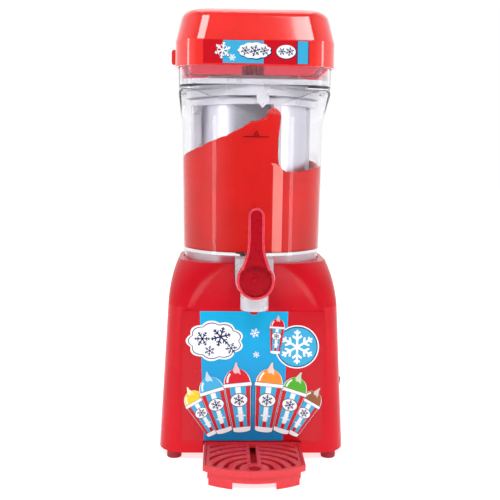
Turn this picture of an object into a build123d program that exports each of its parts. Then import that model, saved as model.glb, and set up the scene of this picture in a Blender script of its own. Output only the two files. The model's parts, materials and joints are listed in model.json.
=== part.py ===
"""Home slushie machine: a motor base, a clear mixing tank with a hanging ice canister,
a turning paddle, a tap with a lever, a lid, and a drip tray that slides into the base.

Axes: Z is up and is the drive axis, the front of the machine faces -Y, +X is its right side.
Origin: on the drive axis, in the plane that the feet stand on. All sizes are in millimetres.
"""
from build123d import *
import math
import os

# ---------------------------------------------------------------- driving dimensions
# base
BASE_BOTTOM = 8.0            # underside of the housing, above the floor
SHOULDER = 150.0             # height where the straight sides end
BASE_TOP = 190.0
BASE_HALF_X_LOW = 90.5
BASE_HALF_X = 82.5           # at the shoulder
BASE_HALF_Y = 93.0
BASE_CORNER = 26.0
TOP_HALF = 74.8              # half width of the collar that the tank stands in
TOP_CORNER = 52.0
BASE_WALL = 2.5
RECESS_FLOOR = 178.0
RECESS_R = 70.6
ROOF = 3.0
FOOT_PAD_R = 7.1
BOSS_X = 66.0
BOSS_Y = 70.0
# tank
FOOT_R = 69.8
TANK_FLOOR = 199.5           # upper face of the tank's floor
FLOOR_T = 3.0
TANK_R_LOW = 70.6
TANK_R_HIGH = 72.0
FLARE_LOW = 312.0            # round below this height
FLARE_MIDDLE = 343.0
FLARE_HIGH = 359.0           # square with round corners above this height
FLARE_R = 97.0
MOUTH_HALF = 73.6
MOUTH_CORNER = 22.5
TANK_TOP = 383.0
TANK_WALL = 2.4
LEDGE_TOP = 361.0
# canister and collar
CANISTER_R = 55.0
CANISTER_WALL = 1.5
CANISTER_BOTTOM = 219.0
COLLAR_T = 5.0
COLLAR_TOP = LEDGE_TOP + COLLAR_T
CAP_BOTTOM = COLLAR_TOP + 2.2
KNOB_R = 11.7
KNOB_TOP = 386.0
# paddle
PADDLE_IN = 57.4
PADDLE_OUT = 65.0
PADDLE_LOW = 205.5
PADDLE_TOP = 349.0
PADDLE_FOOT_T = 7.0
PADDLE_RING_T = 6.0
BAR_HALF = 4.2
BAR_COUNT = 4
BAR_START = -70.0            # angle of the first bar, from +X
# lid
LID_BOTTOM = 378.0
LID_CREASE = 402.0
LID_TOP = 432.0
LID_HALF_LOW = 77.1
LID_HALF_CREASE = 77.0
LID_HALF_TOP = 70.0
LID_CORNER = 28.0
LID_WALL = 2.2
LID_TAB_OUT = 83.0           # how far the finger tab on the left side reaches
LID_LABEL_HALF = 49.8
# tap
TAP_Z = 181.0
TAP_R = 18.0
TAP_BACK = -73.6
TAP_FRONT = -122.0
PLUG_R = 12.4
NOZZLE_Y = -108.5
NOZZLE_R = 13.0
NOZZLE_BOTTOM = 151.0
LEVER_TOP = 247.5
PLUG_BACK = TAP_BACK - 6.0
O_RING_Y = (-84.0, -118.0)
STEM_R = 8.0
STEM_IN = 3.2                # how far the plug's stem enters the lever
CAP_T = 2.6
LEVER_BACK = TAP_FRONT - CAP_T - 0.5
DISC_R = 17.2
DISC_T = 6.5
HANDLE_HALF = 7.5
# gears: module 1, axes in a line towards the back
MODULE = 1.0
OUTPUT_TEETH = 44
IDLER_SMALL_TEETH = 14
IDLER_LARGE_TEETH = 40
PINION_TEETH = 12
IDLER_Y = MODULE * (OUTPUT_TEETH + IDLER_SMALL_TEETH) / 2
MOTOR_Y = IDLER_Y + MODULE * (IDLER_LARGE_TEETH + PINION_TEETH) / 2
LOW_GEAR_Z = 143.0
HIGH_GEAR_Z = 152.0
LOW_GEAR_T = 6.0
HIGH_GEAR_T = 8.0
SHAFT_R = 5.0
GEARBOX_BOTTOM = 136.0
GEARBOX_TOP = 172.0
MOTOR_R = 21.0
MOTOR_BOTTOM = 78.0
RUN_GAP = 0.06               # radial clearance of a running fit
DOG_BOTTOM = 180.0
DOG_TOP = 191.5
GEARBOX_MIDDLE_Y = 19.0
GEARBOX_FIXINGS = [(x, y, 0) for x in (-24, 24) for y in (-24, 62)]
MOTOR_FIXINGS = [(x, MOTOR_Y, 0) for x in (-12, 12)]
# drip tray
TRAY_HALF = 46.0
TRAY_BACK = -74.0
TRAY_SIDE_FRONT = -154.8
TRAY_FRONT = -170.6
TRAY_TOP = 19.0
TRAY_STEP_Z = 13.5
TRAY_STEP = 4.0
LEG_TOP = 6.0
HOLE_Y = -161.0
GRILLE_BACK = -94.4
GRILLE_INSET = 2.2
# switch and inlet
SWITCH_Y = -42.0
SWITCH_Z = 66.0
ROCKER_TURN = 9.0            # the rocker rests this far to one side
PIVOT_R = 1.2
PIVOT_LENGTH = 10.0
INLET_X = -48.0
INLET_Z = 34.0

SIDE_TILT = math.degrees(math.atan((BASE_HALF_X_LOW - BASE_HALF_X) / (SHOULDER - BASE_BOTTOM)))


# ---------------------------------------------------------------- small helpers
def box(x0, x1, y0, y1, z0, z1):
    """A box given by its limits."""
    size = Box(x1 - x0, y1 - y0, z1 - z0)
    return Pos((x0 + x1) / 2, (y0 + y1) / 2, (z0 + z1) / 2) * size


def rod(r, z0, z1, x=0.0, y=0.0):
    """An upright cylinder."""
    return Pos(x, y, (z0 + z1) / 2) * Cylinder(r, z1 - z0)


def rod_y(r, y0, y1, x=0.0, z=0.0):
    """A cylinder along Y."""
    return Pos(x, (y0 + y1) / 2, z) * Rot(90, 0, 0) * Cylinder(r, y1 - y0)


def ring(outer, inner, z0, z1, x=0.0, y=0.0):
    """An upright tube."""
    return rod(outer, z0, z1, x, y) - rod(inner, z0 - 1, z1 + 1, x, y)


def ring_y(outer, inner, y0, y1, x=0.0, z=0.0):
    """A tube along Y."""
    return rod_y(outer, y0, y1, x, z) - rod_y(inner, y0 - 1, y1 + 1, x, z)


def section(half_x, half_y, corner, z):
    """A rounded rectangle centred on the drive axis."""
    safe = min(corner, half_x - 0.05, half_y - 0.05)
    return Pos(0, 0, z) * RectangleRounded(2 * half_x, 2 * half_y, safe)


def tower(levels, ruled=False):
    """A solid through rounded rectangles, each given as half x, half y, corner, height."""
    return loft([section(*level) for level in levels], ruled=ruled)


def slab(half_x, half_y, corner, z0, z1):
    """A plate with rounded corners."""
    return extrude(section(half_x, half_y, corner, z0), amount=z1 - z0)


def around(shape, count, start=0.0):
    """Copies of a shape spaced evenly around the drive axis."""
    turns = [start + 360.0 * i / count for i in range(count)]
    return [Rot(0, 0, turn) * shape for turn in turns]


def at_points(shape, points):
    """One copy of a shape at each point."""
    return [Pos(*p) * shape for p in points]


def fuse(shapes):
    """All the shapes as one."""
    total = shapes[0]
    for shape in shapes[1:]:
        total = total + shape
    return total


def corners(x, y):
    """The four points of a rectangle."""
    return [(sx * x, sy * y, 0) for sx in (-1, 1) for sy in (-1, 1)]


def screw(head_r, head_t, shank_r, length):
    """A pan-head screw that points up, with the seat of its head at z = 0 and a cross recess."""
    head = Pos(0, 0, -head_t / 2) * Cylinder(head_r, head_t)
    shank = Pos(0, 0, length / 2) * Cylinder(shank_r, length)
    slot = Pos(0, 0, -head_t) * Box(head_r * 1.1, 0.7, head_t)
    return head + shank - slot - Rot(0, 0, 90) * slot


def gear(teeth, z0, thickness, bore, phase=0.0):
    """An involute spur gear about the Z axis; phase turns it by a part of one tooth pitch."""
    pitch_r = MODULE * teeth / 2
    base_r = pitch_r * math.cos(math.radians(20))
    tip_r = pitch_r + 0.9 * MODULE
    root_r = pitch_r - 1.2 * MODULE
    backlash = 0.09 / pitch_r
    pitch_inv = math.tan(math.radians(20)) - math.radians(20)
    half = math.pi / (2 * teeth) + pitch_inv - backlash

    def flank(r):
        """Half of the tooth's angle at a radius."""
        a = math.acos(min(1.0, base_r / r))
        return half - (math.tan(a) - a)

    start_r = max(root_r, base_r)
    radii = [start_r + (tip_r - start_r) * k / 3 for k in range(4)]
    points = []
    for i in range(teeth):
        middle = 2 * math.pi * (i + phase) / teeth
        side = [(root_r, -flank(start_r))] if root_r < start_r else []
        side += [(r, -flank(r)) for r in radii]
        tooth = side + [(r, -a) for r, a in reversed(side)]
        points += [(r * math.cos(middle + a), r * math.sin(middle + a)) for r, a in tooth]
    outline = Polyline(*points, close=True)
    blank = extrude(Pos(0, 0, z0) * make_face(outline), amount=thickness)
    return blank - rod(bore, z0 - 1, z0 + thickness + 1)


# ---------------------------------------------------------------- base
def base_outer(inset=0.0):
    """The outside of the base, or a copy drawn in by a wall thickness."""
    low = tower([
        (BASE_HALF_X_LOW - inset, BASE_HALF_Y - inset, BASE_CORNER - inset, BASE_BOTTOM),
        (BASE_HALF_X - inset, BASE_HALF_Y - inset, BASE_CORNER - inset, SHOULDER),
    ], ruled=True)
    high = tower([
        (BASE_HALF_X - inset, BASE_HALF_Y - inset, BASE_CORNER - inset, SHOULDER),
        (80.8 - inset, 85.5 - inset, 36.0 - inset, 169.0),
        (TOP_HALF - inset, TOP_HALF + 0.4 - inset, TOP_CORNER - inset, BASE_TOP),
    ])
    return low + high


def make_base_housing():
    outer = base_outer()
    outer = fillet(outer.faces().sort_by(Axis.Z)[-1].outer_wire().edges(), 1.4)
    inner = base_outer(BASE_WALL)
    inner = inner - box(-120, 120, -120, 120, RECESS_FLOOR - ROOF, BASE_TOP + 1)
    shell = outer - inner
    shell = shell - rod(RECESS_R, RECESS_FLOOR, BASE_TOP + 1)
    shell = shell - rod(8.0, RECESS_FLOOR - ROOF - 1, RECESS_FLOOR + 1)
    # U notch in the front of the collar for the tap
    notch_r = TAP_R + 0.7
    notch = rod_y(notch_r, -100, -60, 0, TAP_Z) + box(-notch_r, notch_r, -100, -60, TAP_Z, BASE_TOP + 1)
    keep_roof = box(-60, 60, -71.5, 0, 100, RECESS_FLOOR)
    shell = shell - (notch - keep_roof)
    trough = box(-notch_r - 2, notch_r + 2, -92, -71.5, TAP_Z - notch_r - 2.5, RECESS_FLOOR)
    trough = trough & base_outer(0.5)
    trough = trough - rod_y(notch_r, -100, -60, 0, TAP_Z) - box(-notch_r, notch_r, -100, -60, TAP_Z, 200)
    shell = shell + trough
    # screw bosses that hang from the roof corners down to the bottom cover
    boss = ring(4.2, 1.4, BASE_BOTTOM + 3, RECESS_FLOOR - ROOF + 1)
    posts = [post & base_outer(0.5) for post in at_points(boss, corners(BOSS_X, BOSS_Y))]
    shell = shell + fuse(posts)
    # openings for the tray, switch and inlet
    shell = shell - box(-47, 47, -100, -80, 0, 21)
    shell = shell - switch_place() * Box(20, 11.4, 17.4)
    shell = shell - inlet_block(0.15)
    # gearbox mounts
    mounts = at_points(rod(4.0, GEARBOX_TOP, RECESS_FLOOR - ROOF), GEARBOX_FIXINGS)
    holes = at_points(rod(1.4, GEARBOX_TOP - 1, RECESS_FLOOR - 1), GEARBOX_FIXINGS)
    return shell + fuse(mounts) - fuse(holes)


def make_bottom_cover():
    gap = BASE_WALL + 0.25
    plate = slab(BASE_HALF_X_LOW - gap - 0.2, BASE_HALF_Y - gap, BASE_CORNER - gap, BASE_BOTTOM, 11.0)
    plate = plate - box(-47, 47, -100, -71, 0, 12)
    channel = box(-49.5, 49.5, -90, -68, 11, 24.0) - box(-47, 47, -95, -71, 0, 21.5)
    plate = plate + channel
    vent = box(-1.2, 1.2, -14, 14, 0, 12)
    vents = [Pos(-42 + 12 * i, 20, 0) * vent for i in range(8)]
    holes = at_points(rod(1.8, 0, 12), corners(BOSS_X, BOSS_Y))
    return plate - fuse(vents) - fuse(holes)


def make_feet():
    foot = rod(FOOT_PAD_R, 0, BASE_BOTTOM)
    foot = fillet(foot.edges().sort_by(Axis.Z)[0], 1.0)
    return at_points(foot, corners(75.5, 79.5))


def make_bottom_screws():
    return at_points(Pos(0, 0, BASE_BOTTOM) * screw(3.0, 1.8, 1.4, 14.0), corners(BOSS_X, BOSS_Y))


def make_front_label():
    face = Pos(0, -BASE_HALF_Y, 83.5) * Rot(90, 0, 0) * RectangleRounded(136, 126.5, 3)
    return extrude(face, amount=0.4)


# ---------------------------------------------------------------- drive


def gearbox_plan(inset, z0, z1):
    """The gearbox outline as a plate."""
    return Pos(0, GEARBOX_MIDDLE_Y, 0) * slab(30 - inset, 49 - inset, 9 - inset, z0, z1)


def make_gearbox_housing():
    body = gearbox_plan(0, GEARBOX_BOTTOM, GEARBOX_TOP - 3)
    body = body - gearbox_plan(2.5, GEARBOX_BOTTOM + 2.5, GEARBOX_TOP)
    posts = at_points(rod(3.6, GEARBOX_BOTTOM + 1, GEARBOX_TOP - 3), GEARBOX_FIXINGS)
    floor_bush = ring(8.0, SHAFT_R + RUN_GAP, GEARBOX_BOTTOM + 2, LOW_GEAR_Z + 5)
    body = body + fuse(posts) + floor_bush
    body = body - rod(SHAFT_R + RUN_GAP, GEARBOX_BOTTOM - 1, GEARBOX_TOP)
    body = body - rod(6.0, GEARBOX_BOTTOM - 1, GEARBOX_BOTTOM + 3, 0, MOTOR_Y)
    body = body - rod(2.5, GEARBOX_BOTTOM - 1, GEARBOX_BOTTOM + 3, 0, IDLER_Y)
    holes = at_points(rod(1.6, GEARBOX_BOTTOM - 1, GEARBOX_TOP), GEARBOX_FIXINGS)
    fixings = at_points(rod(1.5, GEARBOX_BOTTOM - 1, GEARBOX_BOTTOM + 3), MOTOR_FIXINGS)
    return body - fuse(holes) - fuse(fixings)


def make_gearbox_lid():
    plate = gearbox_plan(0, GEARBOX_TOP - 3, GEARBOX_TOP)
    plate = plate - rod(8.0, GEARBOX_TOP - 4, GEARBOX_TOP + 1)
    plate = plate - rod(2.5, GEARBOX_TOP - 4, GEARBOX_TOP + 1, 0, IDLER_Y)
    holes = at_points(rod(1.6, GEARBOX_TOP - 4, GEARBOX_TOP + 1), GEARBOX_FIXINGS)
    return plate - fuse(holes)


def make_gearbox_screws():
    long_screw = Pos(0, 0, GEARBOX_BOTTOM) * screw(3.0, 1.8, 1.4, RECESS_FLOOR - GEARBOX_BOTTOM - 1.5)
    return at_points(long_screw, GEARBOX_FIXINGS)


def make_shaft_bush():
    """A flanged bush in the roof that guides the drive shaft."""
    bush = rod(8.0, GEARBOX_TOP - 3, RECESS_FLOOR) + rod(11.0, RECESS_FLOOR, RECESS_FLOOR + 1.2)
    return bush - rod(SHAFT_R + RUN_GAP, 150, 190)


def make_motor_can():
    can = rod(MOTOR_R, MOTOR_BOTTOM, GEARBOX_BOTTOM, 0, MOTOR_Y)
    can = fillet(can.edges().sort_by(Axis.Z)[0], 2.0)
    can = can + rod(7.0, MOTOR_BOTTOM - 3, MOTOR_BOTTOM + 1, 0, MOTOR_Y)
    can = can - rod(2.5 + RUN_GAP, MOTOR_BOTTOM - 5, GEARBOX_BOTTOM + 1, 0, MOTOR_Y)
    holes = at_points(rod(1.4, GEARBOX_BOTTOM - 8, GEARBOX_BOTTOM + 1), MOTOR_FIXINGS)
    return can - fuse(holes)


def make_motor_screws():
    down = Pos(0, 0, GEARBOX_BOTTOM + 2.5) * Rot(180, 0, 0) * screw(2.6, 1.6, 1.4, 9.0)
    return at_points(down, MOTOR_FIXINGS)


def make_motor_shaft():
    return rod(2.5, MOTOR_BOTTOM - 4, LOW_GEAR_Z + LOW_GEAR_T + 2, 0, MOTOR_Y)


def make_motor_pinion():
    return Pos(0, MOTOR_Y, 0) * Rot(0, 0, 90) * gear(PINION_TEETH, LOW_GEAR_Z, LOW_GEAR_T, 2.5, 0.0)


def make_idler_axle():
    return rod(2.5, GEARBOX_BOTTOM, GEARBOX_TOP, 0, IDLER_Y)


def make_idler_gear():
    """A large gear under a small one, made as one piece; both turn on the axle."""
    large = Rot(0, 0, 90) * gear(IDLER_LARGE_TEETH, LOW_GEAR_Z, LOW_GEAR_T, 2.5 + RUN_GAP, 0.5)
    small = Rot(0, 0, 90) * gear(IDLER_SMALL_TEETH, HIGH_GEAR_Z, HIGH_GEAR_T, 2.5 + RUN_GAP, 0.0)
    step = ring(5.4, 2.5 + RUN_GAP, LOW_GEAR_Z + LOW_GEAR_T, HIGH_GEAR_Z)
    top = ring(4.5, 2.5 + RUN_GAP, HIGH_GEAR_Z + HIGH_GEAR_T, GEARBOX_TOP - 3.3)
    bottom = ring(4.5, 2.5 + RUN_GAP, GEARBOX_BOTTOM + 2.8, LOW_GEAR_Z)
    return Pos(0, IDLER_Y, 0) * (large + step + small + top + bottom)


def make_output_gear():
    wheel = Rot(0, 0, 90) * gear(OUTPUT_TEETH, HIGH_GEAR_Z, HIGH_GEAR_T, SHAFT_R, 0.5)
    hub = ring(9.0, SHAFT_R, HIGH_GEAR_Z + HIGH_GEAR_T, HIGH_GEAR_Z + HIGH_GEAR_T + 6)
    return wheel + hub


def make_drive_shaft():
    shaft = rod(SHAFT_R, GEARBOX_BOTTOM, DOG_BOTTOM + 10)
    return shaft - ring(SHAFT_R + 1, SHAFT_R - 0.8, HIGH_GEAR_Z - 1.2, HIGH_GEAR_Z)


def make_drive_dog():
    """Six-sided driver on the shaft's end, for the paddle spindle's socket."""
    dog = Pos(0, 0, DOG_BOTTOM) * extrude(RegularPolygon(8.0, 6), amount=DOG_TOP - DOG_BOTTOM)
    dog = chamfer(dog.faces().sort_by(Axis.Z)[-1].edges(), 1.0)
    return dog - rod(SHAFT_R, DOG_BOTTOM - 1, DOG_BOTTOM + 10)


def make_circlip():
    clip = ring(7.0, SHAFT_R - 0.8, HIGH_GEAR_Z - 1.2, HIGH_GEAR_Z)
    return clip - box(-2, 2, 3, 9, HIGH_GEAR_Z - 2, HIGH_GEAR_Z + 1)


# ---------------------------------------------------------------- switch, inlet, wiring
def switch_place():
    """Where the switch sits: the middle of its frame, turned to the slope of the side wall."""
    fall = (SWITCH_Z - BASE_BOTTOM) * math.tan(math.radians(SIDE_TILT))
    return Pos(BASE_HALF_X_LOW - fall, SWITCH_Y, SWITCH_Z) * Rot(0, -SIDE_TILT, 0)


def switch_pivot(gap=0.0):
    """The rocker's pivot pin, along Y through the middle of the frame's front face."""
    return Rot(90, 0, 0) * Cylinder(PIVOT_R + gap, PIVOT_LENGTH + 2 * gap)


def make_switch_body():
    frame = Pos(0.8, 0, 0) * Box(1.6, 14, 20.5)
    barrel = Pos(-8, 0, 0) * Box(16, 11, 17)
    pocket = Pos(-3.5, 0, 0) * Box(13, 8.6, 14.6)
    tabs = [Pos(-18, 0, z) * Box(4.2, 0.8, 4) for z in (-5, 5)]
    body = frame + barrel - pocket - switch_pivot(RUN_GAP)
    body = body + fuse(tabs)
    return switch_place() * body


def make_rocker_button():
    """A rocker that pivots at the wall's surface, shown with its lower end pressed in."""
    back = Pos(-1.0, 0, 0) * Rot(90, 0, 0) * Cylinder(6.6, 8.2)
    back = back & Box(7.0, 9, 14)
    front = Pos(0.6, 0, 0) * Box(3.6, 8.2, 13.0)
    return switch_place() * Rot(0, ROCKER_TURN, 0) * (back + front + switch_pivot())


def inlet_block(gap=0.0):
    """The block of the power inlet with an optional gap all round."""
    half_x = 11.0 + gap
    half_z = 7.0 + gap
    return box(INLET_X - half_x, INLET_X + half_x, 75, 100, INLET_Z - half_z, INLET_Z + half_z)


def make_power_inlet():
    block = box(INLET_X - 11, INLET_X + 11, 76, BASE_HALF_Y + 0.5, INLET_Z - 7, INLET_Z + 7)
    flange = box(INLET_X - 13.5, INLET_X + 13.5, BASE_HALF_Y, BASE_HALF_Y + 1.5, INLET_Z - 9.5, INLET_Z + 9.5)
    socket_plan = fuse([rod_y(4.3, 81, 96, INLET_X + s * 4.3, INLET_Z) for s in (-1, 1)])
    socket_plan = socket_plan + box(INLET_X - 4.3, INLET_X + 4.3, 81, 96, INLET_Z - 3.6, INLET_Z + 3.6)
    return block + flange - socket_plan


def make_inlet_contacts():
    return [rod_y(1.2, 81, 91.5, INLET_X + s * 4.3, INLET_Z) for s in (-1, 1)]


def wire(points, radii, r=1.3):
    """A round wire along straight runs joined by tangent arcs."""
    path = FilletPolyline(*points, radius=radii)
    start = Plane(origin=path @ 0, z_dir=path % 0)
    return sweep(start * Circle(r), path=path)


def make_wiring():
    """Two leads: inlet to switch along the floor, and switch to motor."""
    feed = [(INLET_X, 76, INLET_Z), (INLET_X, 60, INLET_Z), (INLET_X, 40, 18), (20, 20, 16), (56, -20, 24),
            (60, SWITCH_Y, 61)]
    tab_x = switch_place().position.X
    motor_lead = [(tab_x - 21, SWITCH_Y, 71), (58, SWITCH_Y, 73), (50, -10, 68), (30, 30, 56), (2, 50, 54),
                  (0.0, MOTOR_Y, MOTOR_BOTTOM - 6.5)]
    leads = [wire(feed, [7, 14, 16, 12]), wire(motor_lead, [4, 14, 12, 5])]
    return leads


# ---------------------------------------------------------------- tank
def tank_outer(inset=0.0, z_low=TANK_FLOOR - FLOOR_T, z_high=TANK_TOP):
    """The outside of the tank, or a copy drawn in by a wall thickness.

    It is a round body whose wall flares outward near the top, cut by a square prism with round
    corners, so the mouth is square and the flare shows only in the four corners.
    """
    start = (TANK_R_HIGH - inset, FLARE_LOW)
    middle = (TANK_R_HIGH + 6.0 - inset, FLARE_MIDDLE)
    end = (FLARE_R - inset, FLARE_HIGH)
    outline = Curve() + [
        Line((0, z_low), (TANK_R_LOW - inset, z_low)),
        Line((TANK_R_LOW - inset, z_low), start),
        Spline(start, middle, end, tangents=[(0, 1), (1, 1)]),
        Line(end, (FLARE_R - inset, z_high)),
        Line((FLARE_R - inset, z_high), (0, z_high)),
        Line((0, z_high), (0, z_low)),
    ]
    body = revolve(Plane.XZ * make_face(outline), axis=Axis.Z)
    half = MOUTH_HALF - inset
    return body & slab(half, half, MOUTH_CORNER - inset, z_low - 1, z_high + 1)


def make_tank():
    wall = tank_outer() - tank_outer(TANK_WALL, TANK_FLOOR, TANK_TOP + 1)
    foot = ring(FOOT_R, FOOT_R - 2.4, RECESS_FLOOR, TANK_FLOOR - FLOOR_T + 0.5)
    foot = foot - box(-13.5, 13.5, -75, -60, RECESS_FLOOR - 1, TANK_FLOOR - FLOOR_T)
    web = slab(MOUTH_HALF - 1.0, MOUTH_HALF - 1.0, MOUTH_CORNER - 1.0, LEDGE_TOP - 4, LEDGE_TOP)
    web = web - rod(MOUTH_HALF - TANK_WALL - 0.1, LEDGE_TOP - 5, LEDGE_TOP + 1)
    tank = wall + foot + web
    spout = box(-8, 8, -64, -53, TANK_FLOOR - FLOOR_T - 1, TANK_FLOOR + 1)
    tank = tank - spout
    tank = tank + ring(13.0, 9.0, TANK_FLOOR - 0.5, TANK_FLOOR + 4)
    return tank - rod(9.0, TANK_FLOOR - FLOOR_T - 1, TANK_FLOOR + 6)


def make_tank_seal():
    """Lip seal pressed into the middle of the tank's floor."""
    seal = rod(9.0, TANK_FLOOR - FLOOR_T, TANK_FLOOR + 4) + rod(11.0, TANK_FLOOR + 4, TANK_FLOOR + 5)
    return seal - rod(SHAFT_R + RUN_GAP, 190, 210)


def make_slush_fill():
    """Frozen drink that clings to the tank wall, with a ragged upper edge."""
    body = tank_outer(TANK_WALL + 0.25, TANK_FLOOR) - rod(66.0, 190, 400)
    body = body - ring(90, 20, 190, TANK_FLOOR + 0.05)
    edge = [(-80, 190), (-80, 296), (-64, 299), (-26, 313), (-8, 322), (4, 328), (14, 331), (20, 324),
            (22, 300), (24, 284), (34, 280), (80, 284), (80, 190)]
    outline = Plane.XZ * make_face(Polyline(*edge, close=True))
    return body & extrude(outline, amount=100, both=True)


# ---------------------------------------------------------------- tap
def make_tap_body():
    """Valve chamber in front of the tank, fed from the tank floor through a flat duct."""
    chamber = rod_y(TAP_R, TAP_FRONT, TAP_BACK, 0, TAP_Z)
    chamber = chamber + box(-TAP_R, TAP_R, -96, TAP_BACK, TAP_Z, 197)
    duct_top = TANK_FLOOR - FLOOR_T - 0.8
    duct = box(-12.5, 12.5, TAP_BACK - 2, -47, 180.0, duct_top)
    nozzle = rod(NOZZLE_R, NOZZLE_BOTTOM, TAP_Z - 8, 0, NOZZLE_Y)
    nozzle = fillet(nozzle.edges().sort_by(Axis.Z)[0], 1.2)
    body = chamber + duct + nozzle
    bore_back = TAP_BACK - 4
    body = body - rod_y(PLUG_R + RUN_GAP, TAP_FRONT - 1, bore_back, 0, TAP_Z)
    body = body - box(-9.5, 9.5, bore_back - 1, -50, 183.0, 192.5)
    body = body - box(-8, 8, -64, -53, 190, duct_top + 1)
    return body - rod(10.4, NOZZLE_BOTTOM - 1, TAP_Z, 0, NOZZLE_Y)


def make_tap_gasket():
    frame = box(-12.5, 12.5, -66.5, -49, TANK_FLOOR - FLOOR_T - 0.8, TANK_FLOOR - FLOOR_T)
    return frame - box(-8, 8, -64, -53, 190, 200)


def make_tap_plug():
    """Turning plug: hollow from the back, with one side port that meets the nozzle at a quarter turn."""
    plug = rod_y(PLUG_R, TAP_FRONT, PLUG_BACK, 0, TAP_Z)
    plug = plug + rod_y(STEM_R, LEVER_BACK - STEM_IN, TAP_FRONT, 0, TAP_Z)
    plug = plug - rod_y(8.6, NOZZLE_Y - 5, PLUG_BACK + 1, 0, TAP_Z)
    plug = plug - Pos(-8, NOZZLE_Y, TAP_Z) * Rot(0, 90, 0) * Cylinder(6.5, 14)
    grooves = [ring_y(PLUG_R + 1, PLUG_R - 1.3, y - 1.1, y + 1.1, 0, TAP_Z) for y in O_RING_Y]
    return plug - fuse(grooves)


def make_tap_o_rings():
    rings = [ring_y(PLUG_R + 0.03, PLUG_R - 1.3, y - 0.9, y + 0.9, 0, TAP_Z) for y in O_RING_Y]
    return rings


def make_tap_cap():
    """Ring on the chamber's mouth that keeps the plug in."""
    return ring_y(TAP_R - 0.4, STEM_R + 0.35, TAP_FRONT - CAP_T, TAP_FRONT - 0.3, 0, TAP_Z) + \
        ring_y(TAP_R - 0.4, PLUG_R + 0.4, TAP_FRONT - 0.3, TAP_FRONT, 0, TAP_Z)


def make_tap_lever():
    """A dished disc with a tapering neck and a rounded grip that stands straight up."""
    disc = rod_y(DISC_R, LEVER_BACK - DISC_T, LEVER_BACK, 0, TAP_Z)
    top_z = LEVER_TOP - HANDLE_HALF
    neck = [(-14.6, TAP_Z + 6), (-9.6, TAP_Z + 21), (-HANDLE_HALF, TAP_Z + 34), (-HANDLE_HALF, top_z)]
    left = Spline(*neck[:3], tangents=[(0.55, 1.0), (0, 1)])
    right = Spline(*[(-x, z) for x, z in neck[:3]], tangents=[(-0.55, 1.0), (0, 1)])
    low = Line(neck[0], (14.6, TAP_Z + 6))
    high_left = Line(neck[2], neck[3])
    high_right = Line((HANDLE_HALF, TAP_Z + 34), (HANDLE_HALF, top_z))
    arch = ThreePointArc(neck[3], (0, LEVER_TOP), (HANDLE_HALF, top_z))
    face = make_face(Curve() + [left, right, low, high_left, high_right, arch])
    handle = extrude(Plane.XZ * face, amount=10.0)
    handle = Pos(0, LEVER_BACK - 0.5, 0) * handle
    back_cut = box(-20, 20, LEVER_BACK - 4.0, LEVER_BACK + 2, TAP_Z + DISC_R + 3, 260)
    lever = disc + (handle - back_cut)
    lever = lever - rod_y(DISC_R - 2.6, LEVER_BACK - 20, LEVER_BACK - DISC_T + 1.6, 0, TAP_Z)
    lever = lever + rod_y(3.0, LEVER_BACK - DISC_T + 0.4, LEVER_BACK - DISC_T + 2, 0, TAP_Z)
    return lever - rod_y(STEM_R, LEVER_BACK - STEM_IN, LEVER_BACK + 1, 0, TAP_Z)


# ---------------------------------------------------------------- paddle
def make_paddle():
    """Lower frame of the cage that turns round the canister: hub, arms and foot ring."""
    hub = rod(14.0, PADDLE_LOW, 216.5)
    foot = ring(PADDLE_OUT, PADDLE_IN, PADDLE_LOW, PADDLE_LOW + PADDLE_FOOT_T)
    arm = box(10, PADDLE_IN + 2, -4.5, 4.5, PADDLE_LOW, PADDLE_LOW + 6)
    frame = hub + foot + fuse(around(arm, BAR_COUNT, BAR_START))
    socket = Pos(0, 0, PADDLE_LOW - 1) * extrude(RegularPolygon(7.0, 6), amount=8)
    return frame - socket


def make_paddle_bars():
    """Upright bars that stand on the foot ring and carry the top ring."""
    low = PADDLE_LOW + PADDLE_FOOT_T
    bar = box(PADDLE_IN, PADDLE_OUT - 0.4, -BAR_HALF, BAR_HALF, low, PADDLE_TOP - PADDLE_RING_T)
    return around(bar, BAR_COUNT, BAR_START)


def make_paddle_ring():
    return ring(PADDLE_OUT, PADDLE_IN + 1.5, PADDLE_TOP - PADDLE_RING_T, PADDLE_TOP)


def make_scrapers():
    """Soft strips on the inner edges of the bars, which wipe the canister."""
    strip = box(CANISTER_R + 0.45, PADDLE_IN, -1.2, 1.2, PADDLE_LOW + 16, PADDLE_TOP - 8)
    return around(strip, BAR_COUNT, BAR_START)


def make_spindle():
    """Short shaft through the tank's seal: socket below for the driver, six-sided head above."""
    socket = rod(12.0, 182.5, TANK_FLOOR - FLOOR_T - 0.4)
    socket = socket - Pos(0, 0, 181) * extrude(RegularPolygon(8.3, 6), amount=11.5)
    shaft = rod(SHAFT_R, 194, PADDLE_LOW)
    head = Pos(0, 0, PADDLE_LOW - 0.5) * extrude(RegularPolygon(7.0, 6), amount=7.4)
    return socket + shaft + head


# ---------------------------------------------------------------- canister, collar, cap
def make_canister():
    outer = rod(CANISTER_R, CANISTER_BOTTOM, COLLAR_TOP)
    outer = fillet(outer.edges().sort_by(Axis.Z)[0], 5.0)
    inner = rod(CANISTER_R - CANISTER_WALL, CANISTER_BOTTOM + CANISTER_WALL, COLLAR_TOP + 5)
    inner = fillet(inner.edges().sort_by(Axis.Z)[0], 3.5)
    rim = ring(CANISTER_R + 3.5, CANISTER_R - CANISTER_WALL, COLLAR_TOP, COLLAR_TOP + 1.4)
    return outer - inner + rim


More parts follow.
